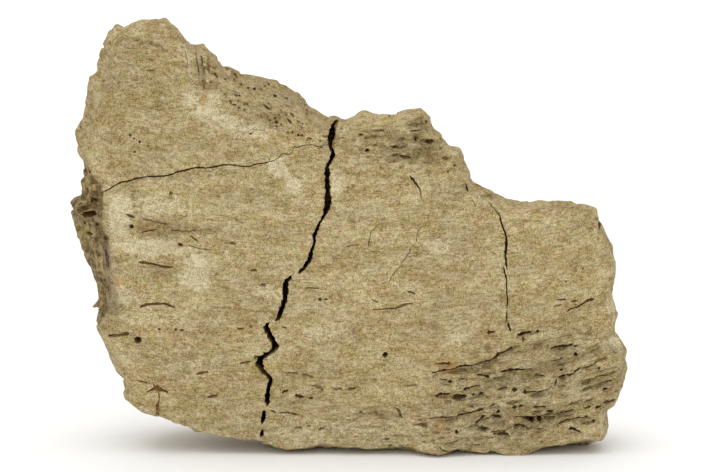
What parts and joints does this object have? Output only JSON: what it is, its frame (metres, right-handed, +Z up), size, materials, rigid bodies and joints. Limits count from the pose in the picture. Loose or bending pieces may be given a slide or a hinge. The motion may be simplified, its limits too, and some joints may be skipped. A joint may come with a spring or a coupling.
{
  "type": "fossil dinosaur rib section",
  "caption": "Chunky flat slab of cracked fossil bone, a broken section of a broad rib, standing on its lower edge.",
  "frame": {"origin": "middle of the object's box at its lowest level, on the surface that it stands on", "axes": "+X along the slab to the right as seen from the front, +Y from the front face to the back, +Z up"},
  "size_m": [0.1264, 0.036, 0.0963],
  "materials": {
    "fossil_bone": "dry mineralised bone, taupe brown with pale patches and ochre stains, fine grain along its length, broken edges rough and darker"
  },
  "bodies": {
    "root": {"rib_section": "fossil_bone"}
  },
  "joints": []
}
